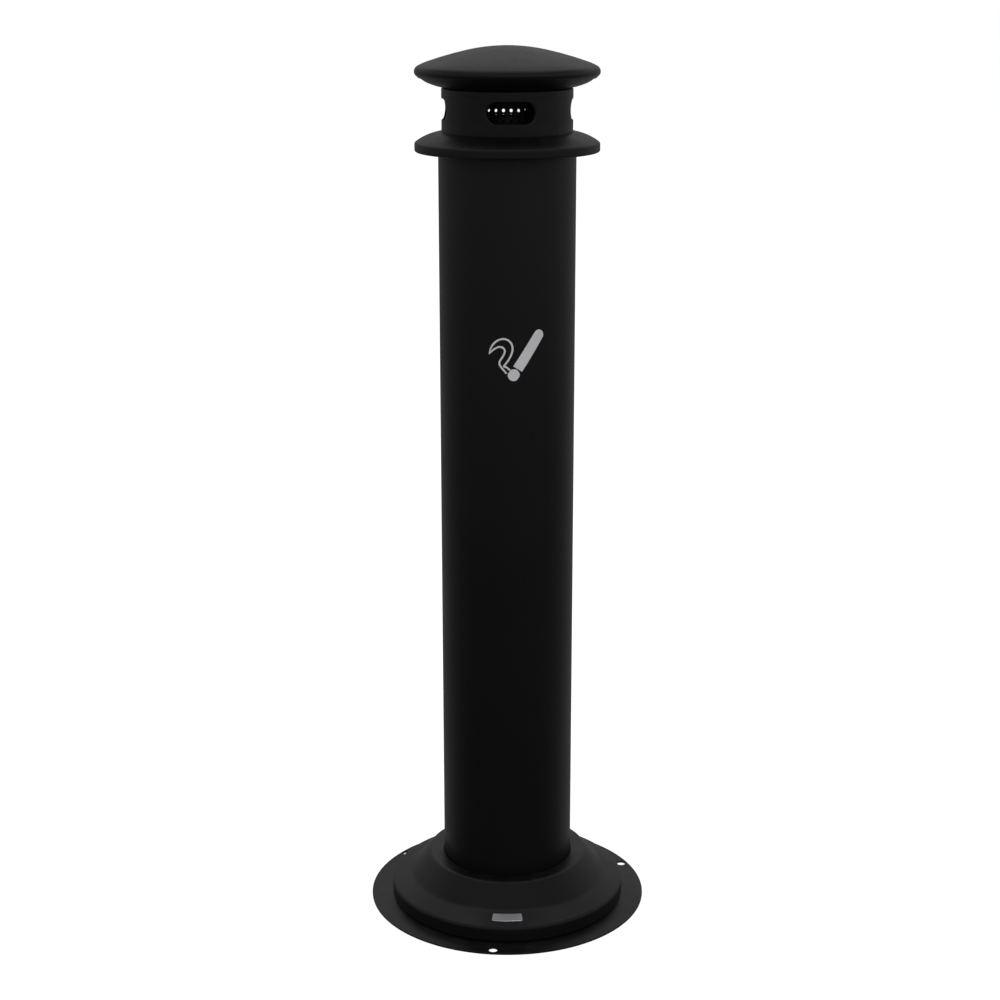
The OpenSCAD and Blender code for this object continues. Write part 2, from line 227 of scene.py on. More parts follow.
# ---------------------------------------------------------------- materials
MIDDLE = (0.3, 0.7)  # the part of a noise's range that most of it falls in


def rgba(value):
    return (*value, 1.0) if isinstance(value, tuple) else value


class Tree:
    """A short way to write a node tree: each call adds a node and returns its output."""

    def __init__(self, tree):
        self.tree = tree

    def add(self, kind, **settings):
        node = self.tree.nodes.new(kind)
        for key, value in settings.items():
            setattr(node, key, value)
        return node

    def plug(self, value, socket):
        if isinstance(value, bpy.types.NodeSocket):
            self.tree.links.new(value, socket)
        else:
            socket.default_value = value

    def spread(self, value, range_in, range_out):
        node = self.add("ShaderNodeMapRange", interpolation_type="SMOOTHSTEP")
        self.plug(value, node.inputs["Value"])
        for key, number in zip(("From Min", "From Max", "To Min", "To Max"), range_in + range_out):
            node.inputs[key].default_value = number
        return node.outputs["Result"]

    def maths(self, operation, a, b):
        node = self.add("ShaderNodeMath", operation=operation)
        self.plug(a, node.inputs[0])
        self.plug(b, node.inputs[1])
        return node.outputs["Value"]


class Nodes(Tree):
    """The tree of a new material. Noise scales are per metre of the piece."""

    def __init__(self, name):
        self.material = bpy.data.materials.new(name)
        self.material.use_nodes = True
        super().__init__(self.material.node_tree)
        self.shader = self.tree.nodes["Principled BSDF"]
        self.place = self.add("ShaderNodeTexCoord").outputs["Object"]

    def noise(self, scale, detail, roughness, at=None):
        node = self.add("ShaderNodeTexNoise")
        self.plug(self.place if at is None else at, node.inputs["Vector"])
        node.inputs["Scale"].default_value = scale
        node.inputs["Detail"].default_value = detail
        node.inputs["Roughness"].default_value = roughness
        return node.outputs["Fac"]

    def cells(self, scale):
        """One random colour per cell."""
        node = self.add("ShaderNodeTexVoronoi")
        self.plug(self.place, node.inputs["Vector"])
        node.inputs["Scale"].default_value = scale
        return node.outputs["Color"]

    def stretch(self, factors):
        node = self.add("ShaderNodeMapping")
        self.plug(self.place, node.inputs["Vector"])
        node.inputs["Scale"].default_value = factors
        return node.outputs["Vector"]

    def mix(self, share, a, b):
        node = self.add("ShaderNodeMix", data_type="RGBA")
        self.plug(share, node.inputs["Factor"])
        self.plug(rgba(a), node.inputs["A"])
        self.plug(rgba(b), node.inputs["B"])
        return node.outputs["Result"]

    def up(self):
        """How far a face looks up, 1 when level."""
        node = self.add("ShaderNodeNewGeometry")
        split = self.add("ShaderNodeSeparateXYZ")
        self.plug(node.outputs["Normal"], split.inputs["Vector"])
        return split.outputs["Z"]

    def bump(self, height, distance, under=None):
        node = self.add("ShaderNodeBump")
        self.plug(height, node.inputs["Height"])
        node.inputs["Distance"].default_value = distance
        node.inputs["Strength"].default_value = 1.0
        if under is not None:
            self.plug(under, node.inputs["Normal"])
        return node.outputs["Normal"]

    def finish(self, colour, roughness, metallic=0.0, normal=None):
        self.plug(rgba(colour), self.shader.inputs["Base Color"])
        self.plug(roughness, self.shader.inputs["Roughness"])
        self.plug(metallic, self.shader.inputs["Metallic"])
        self.plug(0.5, self.shader.inputs["Specular IOR Level"])
        if normal is not None:
            self.plug(normal, self.shader.inputs["Normal"])
        return self.material


def powder_coat(name):
    """Satin black: orange peel, a fine grain, patchy gloss and a little dust on level faces."""
    n = Nodes(name)
    patches = n.noise(7.0, 3.0, 0.6)
    peel = n.noise(520.0, 2.0, 0.45)
    grain = n.noise(2600.0, 1.0, 0.5)
    level = n.spread(n.up(), (0.6, 1.0), (0.0, 0.10))
    drifts = n.spread(n.noise(60.0, 4.0, 0.7), (0.45, 0.75), (0.0, 1.0))
    dust = n.maths("MULTIPLY", level, drifts)
    paint = n.mix(patches, (0.0040, 0.0043, 0.0044), (0.0058, 0.0061, 0.0062))
    colour = n.mix(dust, paint, (0.10, 0.097, 0.092))
    gloss = n.spread(patches, MIDDLE, (0.38, 0.45))
    roughness = n.maths("ADD", gloss, n.maths("MULTIPLY", dust, 0.8))
    normal = n.bump(grain, 0.004 * MM, n.bump(peel, 0.020 * MM))
    return n.finish(colour, roughness, 0.0, normal)


def plain_paint(name, colour, roughness):
    """Flat matte paint with brush-sized unevenness."""
    n = Nodes(name)
    blotch = n.noise(40.0, 4.0, 0.65)
    fine = n.noise(900.0, 2.0, 0.5)
    lighter = tuple(c * 1.6 for c in colour)
    return n.finish(n.mix(blotch, colour, lighter),
                    n.spread(blotch, MIDDLE, (roughness, roughness + 0.12)), 0.0,
                    n.bump(fine, 0.02 * MM))


def sooty_steel(name):
    """Blackened screen: matte, with pale ash caught in patches."""
    n = Nodes(name)
    soot = n.noise(180.0, 5.0, 0.7)
    ash = n.spread(n.noise(420.0, 4.0, 0.75), (0.60, 0.78), (0.0, 0.20))
    steel = n.mix(soot, (0.006, 0.006, 0.006), (0.014, 0.013, 0.012))
    colour = n.mix(ash, steel, (0.11, 0.105, 0.10))
    return n.finish(colour, n.spread(soot, MIDDLE, (0.55, 0.75)), 0.0,
                    n.bump(soot, 0.04 * MM))


def galvanised(name):
    """Hot-dip zinc: crystals of differing brightness and gloss, dull bloom, light scratches."""
    n = Nodes(name)
    shade = n.add("ShaderNodeSeparateColor")
    n.plug(n.cells(130.0), shade.inputs["Color"])
    tone = shade.outputs["Red"]
    bloom = n.spread(n.noise(14.0, 4.0, 0.6), (0.35, 0.7), (0.0, 0.6))
    zinc = n.mix(tone, (0.56, 0.58, 0.60), (0.80, 0.82, 0.84))
    colour = n.mix(bloom, zinc, (0.60, 0.61, 0.62))
    scratch = n.noise(60.0, 2.0, 0.5, n.stretch((14.0, 14.0, 1.0)))
    gloss = n.spread(tone, (0.0, 1.0), (0.30, 0.46))
    roughness = n.maths("ADD", gloss, n.maths("MULTIPLY", bloom, 0.2))
    normal = n.bump(tone, 0.012 * MM, n.bump(scratch, 0.008 * MM))
    return n.finish(colour, roughness, 1.0, normal)


def bright_metal(name, colour, roughness):
    """Plated or mill-finish metal with drawn streaks and slight tarnish."""
    n = Nodes(name)
    tarnish = n.noise(90.0, 4.0, 0.65)
    streak = n.noise(900.0, 2.0, 0.6, n.stretch((1.0, 1.0, 0.15)))
    darker = tuple(c * 0.7 for c in colour)
    return n.finish(n.mix(tarnish, darker, colour),
                    n.spread(tarnish, MIDDLE, (roughness + 0.14, roughness)), 1.0,
                    n.bump(streak, 0.006 * MM))


def moulded(name, colour, roughness, spark_scale):
    """Moulded nylon or rubber with a fine spark texture."""
    n = Nodes(name)
    spark = n.noise(spark_scale, 3.0, 0.6)
    scuff = n.noise(70.0, 4.0, 0.7)
    lighter = tuple(c * 1.5 + 0.004 for c in colour)
    return n.finish(n.mix(scuff, colour, lighter),
                    n.spread(scuff, MIDDLE, (roughness, roughness + 0.12)), 0.0,
                    n.bump(spark, 0.02 * MM))


def vinyl(name):
    """Cut grey-white film with a faint stipple and an uneven tint."""
    n = Nodes(name)
    tint = n.noise(55.0, 4.0, 0.6)
    stipple = n.noise(1500.0, 2.0, 0.5)
    return n.finish(n.mix(tint, (0.74, 0.74, 0.77), (0.82, 0.82, 0.84)),
                    n.spread(tint, MIDDLE, (0.42, 0.52)), 0.0,
                    n.bump(stipple, 0.01 * MM))


def foil(name):
    """Brushed foil, the brushing running along the plate."""
    n = Nodes(name)
    brush = n.noise(300.0, 3.0, 0.6, n.stretch((0.6, 12.0, 12.0)))
    tint = n.noise(90.0, 3.0, 0.6)
    return n.finish(n.mix(tint, (0.50, 0.51, 0.55), (0.62, 0.63, 0.66)),
                    n.spread(brush, MIDDLE, (0.28, 0.42)), 1.0,
                    n.bump(brush, 0.006 * MM))


POWDER = powder_coat("powder_coat_black")
PRIMED = plain_paint("inside_primer", (0.024, 0.025, 0.027), 0.62)
SOOTY = sooty_steel("sooty_screen")
ZINC_DIP = galvanised("galvanised_zinc")
ZINC = bright_metal("zinc_plate", (0.58, 0.59, 0.60), 0.28)
ALUMINIUM = bright_metal("rivet_aluminium", (0.62, 0.63, 0.64), 0.36)
NYLON = moulded("nylon_grey", (0.045, 0.047, 0.05), 0.5, 1400.0)
RUBBER = moulded("grip_rubber", (0.016, 0.016, 0.017), 0.62, 900.0)
VINYL = vinyl("vinyl_grey_white")
FOIL = foil("foil_brushed")


# ---------------------------------------------------------------- base
def disc_with_holes(name, radius, holes, z, t):
    """A flat round plate with eased edges on an underside at z. A hole is (x, y, radius)."""
    ease = min(EDGE_EASE, t * 0.3)
    curve = bpy.data.curves.new(name, "CURVE")
    curve.dimensions = "2D"
    curve.fill_mode = "BOTH"
    curve.resolution_u = 64
    curve.extrude = t / 2 - ease
    curve.bevel_depth = ease
    curve.bevel_resolution = 2
    curve.offset = -ease
    for x, y, r in [(0.0, 0.0, radius)] + holes:
        spline = curve.splines.new("BEZIER")
        spline.bezier_points.add(3)
        spline.use_cyclic_u = True
        arm = r * 4 / 3 * (math.sqrt(2) - 1)  # makes four spans a circle
        for i, point in enumerate(spline.bezier_points):
            a = math.pi / 2 * i
            along = Vector((-math.sin(a), math.cos(a), 0)) * arm
            point.co = (x + r * math.cos(a), y + r * math.sin(a), 0)
            point.handle_left = point.co - along
            point.handle_right = point.co + along
    shape = bpy.data.objects.new(name, curve)
    bpy.context.scene.collection.objects.link(shape)
    bpy.context.view_layer.update()
    graph = bpy.context.evaluated_depsgraph_get()
    mesh = bpy.data.meshes.new_from_object(shape.evaluated_get(graph))
    bpy.data.objects.remove(shape)
    bm = bmesh.new()
    bm.from_mesh(mesh)
    bmesh.ops.translate(bm, verts=bm.verts, vec=(0, 0, z + t / 2))
    return finish_mesh(name, bm)


def floor_plate():
    bottom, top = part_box("floor_plate")
    mount = next(m for m in frame["record"]["mounts"] if m["name"] == "anchor_holes")
    pitch_r = mount["dims"]["pcd_mm"] / 2 * MM
    hole_r = mount["dims"]["hole_r_mm"] * MM
    drain_r = 10 * MM
    holes = [(0.0, 0.0, drain_r)]
    for a in even_angles(mount["dims"]["count"], math.radians(FRONT + PLATE_TURN)):
        holes.append((pitch_r * math.cos(a), pitch_r * math.sin(a), hole_r))
    return disc_with_holes("FloorPlate", top.x, holes, bottom.z, top.z - bottom.z)


def bell_path():
    """The bell's outer face: turned-in foot, wall, shoulder, ring, flank and lip round the post."""
    foot_w, foot_r, wall_h, shoulder_r = 10 * MM, 2 * MM, 13 * MM, 4 * MM
    ring_w, crease_r, flank_w, flank_slope = 19.65 * MM, 14 * MM, 27.3 * MM, 49.0
    lip_r, lip_gap = 6 * MM, 0.6 * MM
    start = (high("base_bell").x - foot_w, low("base_bell").z, 0.0)
    steps = [(foot_w - foot_r,), (foot_r, 90.0), (wall_h,), (shoulder_r, 90 - BELL_SLOPE),
             (ring_w,), (crease_r, BELL_SLOPE - flank_slope), (flank_w,), (lip_r, flank_slope)]
    level_w = walk(start, steps)[-1][0] - tube_r - lip_gap
    return walk(start, steps + [(level_w,)])


def base_bell():
    return lathe("BaseBell", eased(sheet(bell_path(), BELL_T)))


def ring_piece(name, node, inner_r):
    """A plain tube that fills a node's box down to its bore."""
    bottom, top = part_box(node)
    return lathe(name, eased([(inner_r, bottom.z), (top.x, bottom.z), (top.x, top.z),
                              (inner_r, top.z)]))


def label_plate():
    """A thin foil plate with round corners that follows the cone of the bell's sloping ring."""
    width, height, thick, corner = 34 * MM, 10.5 * MM, 0.5 * MM, 1.4 * MM
    edge_round = 0.25 * MM
    wall_share = 0.6  # of the thickness, below the rounded edge
    slope = math.radians(BELL_SLOPE)
    bottom = low("base_label")
    bed = 0.55 * thick  # from the bottom of the node's box up to this plate's underside
    low_r, low_z = -bottom.y, bottom.z + bed
    mid_r = low_r - height / 2 * math.cos(slope)
    rows, across = 16, 40
    bm = bmesh.new()
    layers = []
    for lift, inset in ((0.0, 0.0), (thick * wall_share, 0.0), (thick, edge_round)):
        grid = []
        for j in range(rows + 1):
            v = height / 2 * math.sin(math.pi * (j / rows - 0.5))
            past = max(abs(v) - (height / 2 - corner), 0.0)
            half = width / 2 - corner + math.sqrt(max(corner ** 2 - past ** 2, 0.0))
            row = []
            for i in range(across + 1):
                u = (2 * i / across - 1) * (half - inset)
                w = v * (1 - 2 * inset / height)
                r = mid_r - w * math.cos(slope) + lift * math.sin(slope)
                z = low_z + (w + height / 2) * math.sin(slope) + lift * math.cos(slope)
                a = math.radians(FRONT) + u / mid_r
                row.append(bm.verts.new((r * math.cos(a), r * math.sin(a), z)))
            grid.append(row)
        layers.append(grid)

    for grid in (layers[0], layers[-1]):
        for a, b in zip(grid, grid[1:]):
            bridge(bm, a, b, closed=False)
    for a, b in zip(layers, layers[1:]):
        bridge(bm, border(a), border(b))
    # the middle layer is used only along its border
    spare = [v for v in bm.verts if not v.link_faces]
    bmesh.ops.delete(bm, geom=spare, context="VERTS")
    return finish_mesh("FoilLabel", bm)


rim_bearing = 3 * MM  # how far the canister's rim reaches over the ledge

place(floor_plate(), "post", POWDER, "floor_plate")
place(base_bell(), "post", POWDER, "base_bell")
place(ring_piece("PostTube", "post_tube", tube_r - TUBE_T), "post",
      POWDER, "post_tube")
place(ring_piece("CanisterLedge", "canister_ledge", high("canister_shell").x - rim_bearing),
      "post", PRIMED, "canister_ledge")
LABEL = place(label_plate(), "post", FOIL, "base_label")


# ---------------------------------------------------------------- pictogram
def smooth(points):
    """A smooth curve through points (Catmull-Rom)."""
    per_span = 8
    curve = []
    padded = [points[0]] + points + [points[-1]]
    for spans in zip(padded, padded[1:], padded[2:], padded[3:]):
        for i in range(per_span):
            t = i / per_span
            curve.append(tuple(
                0.5 * (2 * b + (c - a) * t + (2 * a - 5 * b + 4 * c - d) * t ** 2
                       + (3 * b - a - 3 * c + d) * t ** 3)
                for a, b, c, d in zip(*spans)))
    curve.append(points[-1])
    return curve


def film(bm, line, half_widths, across, base_r):
    """A film on the post: a band along a line of points (u, v), in mm from the decal's middle."""
    gap, thick = HAIR, 0.2 * MM
    bottom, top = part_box("smoking_decal")
    middle_z = (bottom.z + top.z) / 2
    middle_turn = math.radians(FRONT + DECAL_TURN)
    borders = []
    for lift in (gap, gap + thick):
        rows = []
        for i, (u, v) in enumerate(line):
            u0, v0 = line[max(i - 1, 0)]
            u1, v1 = line[min(i + 1, len(line) - 1)]
            length = math.hypot(u1 - u0, v1 - v0)
            side_u, side_v = -(v1 - v0) / length, (u1 - u0) / length
            row = []
            for j in range(across + 1):
                shift = half_widths[i] * (2 * j / across - 1)
                a = middle_turn + (u + side_u * shift) * MM / base_r
                r = base_r + lift
                z = middle_z + (v + side_v * shift) * MM
                row.append(bm.verts.new((r * math.cos(a), r * math.sin(a), z)))
            rows.append(row)
        for a, b in zip(rows, rows[1:]):
            bridge(bm, a, b, closed=False)
        borders.append(border(rows))
    bridge(bm, *borders)


def pictogram():
    """A lit cigarette under a curl of smoke. Numbers here are in mm from the decal's middle."""
    slope = math.radians(57.0)
    ember_u, ember_v, ember_r = -3.5, -22.0, 6.5
    ember_half, smoke_half = 6.0, 1.0
    half_bar, bar_end, gap = 5.7, 51.0, 1.3
    tip_half = 0.02  # half the width a rounded end comes down to
    bar_spans, end_spans, ember_spans, bar_across = 30, 10, 24, 10

    def along(s):
        return ember_u + s * math.cos(slope), ember_v + s * math.sin(slope)

    bm = bmesh.new()
    bar_start = ember_r + gap
    stations = [bar_start + (bar_end - bar_start) * i / bar_spans for i in range(bar_spans + 1)]
    widths = [half_bar] * len(stations)
    for i in range(1, end_spans + 1):
        a = math.pi / 2 * i / end_spans
        stations.append(bar_end + half_bar * math.sin(a))
        widths.append(half_bar * math.cos(a) + tip_half)
    film(bm, [along(s) for s in stations], widths, bar_across, tube_r)

    stations = [-ember_r * math.cos(math.pi * i / ember_spans) for i in range(ember_spans + 1)]
    widths = [min(ember_half, math.sqrt(max(ember_r ** 2 - s ** 2, 0.0)) + tip_half)
              for s in stations]
    film(bm, [along(s) for s in stations], widths, bar_across, tube_r)

    outer = [(-30.2, 0.4), (-29.0, 5.6), (-25.8, 11.4), (-20.6, 16.0), (-14.4, 17.6),
             (-9.4, 16.0), (-5.9, 12.0), (-4.8, 6.6), (-6.0, 1.2), (-9.0, -5.0), (-11.9, -9.2),
             (-14.6, -12.4)]
    inner = [(-30.2, 0.4), (-28.6, 2.6), (-24.6, 6.4), (-19.4, 8.8), (-15.2, 8.0), (-13.2, 5.0),
             (-13.9, 1.2), (-16.2, -3.0), (-18.4, -6.4), (-19.0, -9.4), (-17.6, -12.6),
             (-14.6, -16.2), (-11.2, -20.2)]
    spur = [(-14.6, -12.4), (-11.2, -13.4), (-7.6, -16.6)]
    thin_share, taper_points = 0.35, 14
    for step, (line, tapers) in enumerate(((outer, True), (inner, True), (spur, False))):
        curve = smooth(line)
        widths = [smoke_half] * len(curve)
        if tapers:
            for i in range(taper_points):
                widths[i] *= thin_share + (1 - thin_share) * i / taper_points
        # the lines meet, so each lies a little higher than the one before
        film(bm, curve, widths, 2, tube_r + HAIR / 2 * step)
    return finish_mesh("SmokingDecal", bm)


DECAL = place(pictogram(), "post", VINYL, "smoking_decal")


# ---------------------------------------------------------------- head
def pan_path(extra):
    """The pan's underside from the axis out to its edge, longer by extra."""
    rise_w, edge_w = 34.1 * MM, 1.7 * MM  # rise_w is from the flat middle to the cap's edge
    # the three turns add up to PAN_SLOPE
    rise = [(40 * MM, 15.0), (75 * MM, 8.0), (25 * MM, 20.0), (edge_w + extra,)]
    return walk((0.0, pan_z, 0.0), [(cap_r - rise_w,)] + rise)


def dome_path():
    """The cap's outer face from the hem under the pan, over the rim and up to the crown."""
    slope = math.radians(PAN_SLOPE)
    hem = pan_path(0.0)[-1]
    gap = SHEET_T + HAIR
    start = (hem[0] + gap * math.sin(slope), hem[1] - gap * math.cos(slope), PAN_SLOPE)
    rim_r = 5 * MM
    flat_w = (cap_r - start[0] - rim_r * (1 - math.sin(slope))) / math.cos(slope)
    steps = [(flat_w,), (rim_r, 90 - PAN_SLOPE), (7 * MM, 62.0), (66 * MM, 9.0), (400 * MM, 6.5)]
    crown_turn = 12.5  # what is left of the half turn back to the axis
    shoulder = walk(start, steps)[-1]
    crown_r = shoulder[0] / math.sin(math.radians(crown_turn))
    return walk(start, steps + [(crown_r, crown_turn)])


def on_axis(outline):
    """The outline with its points next to the axis moved onto it."""
    return [(0.0 if r < AXIS_R else r, z) for r, z in outline]


def collar_path():
    """The collar's outer face: turned-in lip, skirt, shoulder and dome, then a flat to the drum."""
    lip_w, skirt_h, foot_r, shoulder_r, dome_r = 5 * MM, 8 * MM, 2 * MM, 3 * MM, 57.4 * MM
    steps = [(lip_w,), (foot_r, 90.0), (skirt_h - foot_r,), (shoulder_r, 54.0), (dome_r, 30.0)]
    start = (high("collar").x - lip_w - foot_r, low("collar").z, 0.0)
    inner = walk(start, steps)[-1]
    slope = math.radians(6)  # what the bends leave of a half turn
    run_in = (inner[0] - drum_r - HAIR - SHEET_T * math.sin(slope)) / math.cos(slope)
    return walk(start, steps + [(run_in,)])


def obround_loop(grow, per_top, per_side):
    """Points (x, z) clockwise round a slot grown by grow, from its upper left 45 degree point."""
    r = SLOT_H / 2 + grow
    half = (SLOT_W - SLOT_H) / 2
    eighth = math.pi / 4 * r
    total = 2 * eighth + 2 * half

    def top_point(s):
        if s < eighth:
            a = 3 * math.pi / 4 - s / r
            return -half + r * math.cos(a), r * math.sin(a)
        if s < eighth + 2 * half:
            return -half + s - eighth, r
        a = math.pi / 2 - (s - eighth - 2 * half) / r
        return half + r * math.cos(a), r * math.sin(a)

    top = [top_point(total * i / per_top) for i in range(per_top)]
    side = []
    for i in range(per_side):
        a = math.pi / 4 - math.pi / 2 * i / per_side
        side.append((half + r * math.cos(a), r * math.sin(a)))
    first_half = top + side
    return first_half + [(-x, -z) for x, z in first_half]


def window_loop(half_angle, z0, z1, per_top, per_side):
    """Points (angle, z) round the slot's share of the drum wall, in step with obround_loop."""
    top = [(-half_angle + 2 * half_angle * i / per_top, z1) for i in range(per_top)]
    side = [(half_angle, z1 + (z0 - z1) * i / per_side) for i in range(per_side)]
    first_half = top + side
    return first_half + [(-a, z0 + z1 - z) for a, z in first_half]


def rivet_ring_r(node):
    """Radius of the ring that the rivets of a node stand on."""
    return (high(node).x - RIVET_HEAD_R) / math.cos(math.radians(RIVET_TURN - HEAD_TURN))


def drum():
    """The drum's wall is one window per slot, joined above and below by plain bands."""
    inner_r = drum_r - DRUM_T
    window_half_h = 17 * MM
    slot_z = pan_z - SLOT_DROP
    z0, z1 = slot_z - window_half_h, slot_z + window_half_h
    per_top, per_side = 56, 24
    half_angle = math.pi / SLOT_COUNT
    ease = 0.4 * MM
    cut = 0.3 * ease  # how far the eased edge's middle point lies in from both faces
    rim = [(drum_r, ease), (drum_r - cut, cut), (drum_r - ease, 0.0),
           (inner_r + ease, 0.0), (inner_r + cut, cut), (inner_r, ease)]
    shares = (1.0, 0.6, 0.3, 0.1)
    window = window_loop(half_angle, z0, z1, per_top, per_side)
    bm = bmesh.new()

    def row(middle, r, grow, share):
        """A loop between the slot's edge (share 0) and the window's border (share 1)."""
        verts = []
        for (x, dz), (a, z) in zip(obround_loop(grow, per_top, per_side), window):
            near = math.asin(x / r)
            angle = middle + near + (a - near) * share
            height = slot_z + dz + (z - slot_z - dz) * share
            verts.append(bm.verts.new((r * math.cos(angle), r * math.sin(angle), height)))
        return verts

    front_slot = math.radians(FRONT + HEAD_TURN)
    for k in range(SLOT_COUNT):
        middle = front_slot + 2 * half_angle * k
        rows = [row(middle, drum_r, ease, s) for s in shares]
        rows += [row(middle, r, grow, 0.0) for r, grow in rim]
        rows += [row(middle, inner_r, ease, s) for s in reversed(shares)]
        for a, b in zip(rows, rows[1:]):
            bridge(bm, a, b)

    # above the windows the wall turns in as a flange for the rivets, below it ends plainly
    past_rivets = 5 * MM
    bend_r, flange_w = 2.5 * MM, drum_r - rivet_ring_r("drum_rivets") + past_rivets
    flange_steps = [(pan_z - z1 - bend_r,), (bend_r, 90.0), (flange_w - bend_r,)]
    flange = sheet(walk((drum_r, z1, 90.0), flange_steps), DRUM_T)
    half = len(flange) // 2  # where the sheet's outline turns back
    inside_ends = slice(EASE_POINTS, -EASE_POINTS)  # leaves off the two end corners
    lip = eased(flange[half - 2:half + 2])[inside_ends]
    foot_z = low("drum").z
    foot = eased([(drum_r, z0), (drum_r, foot_z), (inner_r, foot_z), (inner_r, z0)])[inside_ends]
    angles = even_angles(per_top * SLOT_COUNT, front_slot - half_angle)
    for band in (flange[:half - 1] + lip + flange[half + 1:],
                 [(drum_r, z0)] + foot + [(inner_r, z0)]):
        rows = [ring_verts(bm, r, z, angles) for r, z in band]
        for a, b in zip(rows, rows[1:]):
            bridge(bm, a, b)
    return finish_mesh("SlottedDrum", bm)


def rivet_heads(name, node, flange_t):
    """Blind rivets through the cap pan: a low dome below and a rolled tail above."""
    shank_r, head_h = 1.99 * MM, 1.38 * MM
    tail_mid_r, tail_w = shank_r + 0.7 * MM, 0.81 * MM
    tail_half_h, tail_lift = 0.69 * MM, 0.06 * MM
    bore_r, bore_rim_h, bore_floor_h = 1.0 * MM, 0.9 * MM, 0.7 * MM
    head_spans, tail_spans, turns = 8, 8, 32
    ring_r = rivet_ring_r(node)
    bottom = pan_z - flange_t
    top = pan_z + SHEET_T
    dome = [(0.0, bottom - head_h)]
    for i in range(1, head_spans + 1):
        a = math.pi / 2 * i / head_spans
        dome.append((RIVET_HEAD_R * math.sin(a), bottom - head_h * math.cos(a)))
    tail = []
    for i in range(tail_spans + 1):
        a = math.pi * (i / tail_spans - 0.5)
        tail.append((tail_mid_r + tail_w * math.cos(a),
                     top + tail_half_h + tail_lift + tail_half_h * math.sin(a)))
    outline = (dome + [(shank_r, bottom), (shank_r, top)] + tail
               + [(bore_r, top + bore_rim_h), (0.0, top + bore_floor_h)])
    bm = bmesh.new()
    for a in even_angles(RIVET_COUNT, math.radians(HEAD_TURN + RIVET_TURN)):
        lathe_into(bm, outline, turns, (ring_r * math.cos(a), ring_r * math.sin(a)))
    return finish_mesh(name, bm)


hem_w = 3 * MM  # how far the pan runs on inside the dome's hem
dome_outline = on_axis(eased(sheet(dome_path(), SHEET_T)))
pan_outline = on_axis(eased(sheet(pan_path(hem_w), SHEET_T)))

place(drum(), "head", POWDER, "drum")
place(lathe("RainCollar", eased(sheet(collar_path(), SHEET_T))), "head",
      POWDER, "collar")
place(lathe("CapDome", dome_outline), "head", POWDER, "cap_dome")
place(lathe("CapPan", pan_outline), "head", POWDER, "cap_pan")
place(rivet_heads("DrumRivets", "drum_rivets", DRUM_T), "head", ALUMINIUM,
      "drum_rivets")
place(rivet_heads("ScreenRivets", "screen_rivets", SCREEN_T), "head",
      ALUMINIUM, "screen_rivets")


def seat_ring():
    """A nylon ring: a collar inside the tube's mouth under a lip with a sloping top."""
    bottom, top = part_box("seat_ring")
    drum_clear, tube_clear, corner = 0.1 * MM, 0.2 * MM, 0.5 * MM
    bore = drum_r + drum_clear
    inside_r = tube_r - TUBE_T - tube_clear
    mouth = high("post_tube").z + HAIR
    fall = (top.x - bore) * math.tan(math.radians(6))
    outline = [(bore, bottom.z), (inside_r, bottom.z), (inside_r, mouth), (top.x, mouth),
               (top.x, top.z - fall), (bore, top.z)]
    return lathe("HeadRing", eased(outline, corner))


place(seat_ring(), "seat", NYLON, "seat_ring")


# ---------------------------------------------------------------- canister and handle
def canister_shell():
    """Thin wall with two inward swages and a rolled rim."""
    bottom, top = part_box("canister_shell")
    bead_r, bead_spans = 2 * MM, 24
    bead_mid_r, bead_z = top.x - bead_r, top.z - bead_r
    bead_start, bead_end = 217, 495  # degrees round the bead, from the wall's outside to its inside
    wall_in, wall_end, inside_end = 1.6 * MM, 1.2 * MM, 0.5 * MM  # from the bead's middle
    outer_r = bead_mid_r - wall_in
    swages = (bottom.z + 62 * MM, bottom.z + 238 * MM)
    swage_half_h, swage_depth, swage_spans = 5 * MM, 1.2 * MM, 16

    def press(z):
        """How far the wall is pressed in at a height."""
        near = min(abs(z - middle) for middle in swages)
        return swage_depth * math.cos(math.pi / 2 * min(near / swage_half_h, 1.0)) ** 2

    levels = [bottom.z]
    for middle in swages:
        levels += [middle + swage_half_h * (2 * i / swage_spans - 1)
                   for i in range(swage_spans + 1)]
    levels.append(bead_z - wall_end)
    outside = [(outer_r - press(z), z) for z in levels]
    bead = []
    for i in range(bead_spans + 1):
        a = math.radians(bead_start + (bead_end - bead_start) * i / bead_spans)
        bead.append((bead_mid_r + bead_r * math.cos(a), bead_z + bead_r * math.sin(a)))
    inner_r = outer_r - CANISTER_T
    inside = [(inner_r - press(z), z) for z in reversed(levels)]
    return lathe("CanisterShell", outside + bead + [(inner_r, bead_z + inside_end)] + inside)


def canister_base():
    """A pressed-in dish with its wall upwards."""
    bottom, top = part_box("canister_base")
    wall_h, bend_r, corner = top.z - bottom.z, 2 * MM, 0.2 * MM
    path = walk((top.x, bottom.z, 90.0), [(wall_h - bend_r,), (bend_r, 90.0), (top.x - bend_r,)])
    return lathe("CanisterBase", on_axis(eased(sheet(path, CANISTER_T), corner)))


def sweep(name, points, radii, sides):
    """A round bar along a level path, with a radius for each point."""
    bm = bmesh.new()
    rows = []
    up = Vector((0, 0, 1))
    for i, (here, r) in enumerate(zip(points, radii)):
        ahead = points[min(i + 1, len(points) - 1)] - points[max(i - 1, 0)]
        side = ahead.normalized().cross(up).normalized()
        rows.append([bm.verts.new(here + (side * math.cos(a) + up * math.sin(a)) * r)
                     for a in even_angles(sides)])
    for a, b in zip(rows, rows[1:]):
        bridge(bm, a, b)
    bm.faces.new(rows[0])
    bm.faces.new(rows[-1])
    return finish_mesh(name, bm)


def bail_z():
    """Height of the bail's pins, and of its hoop while it lies on the canister's rim."""
    return (low("bail_grip").z + high("bail_grip").z) / 2


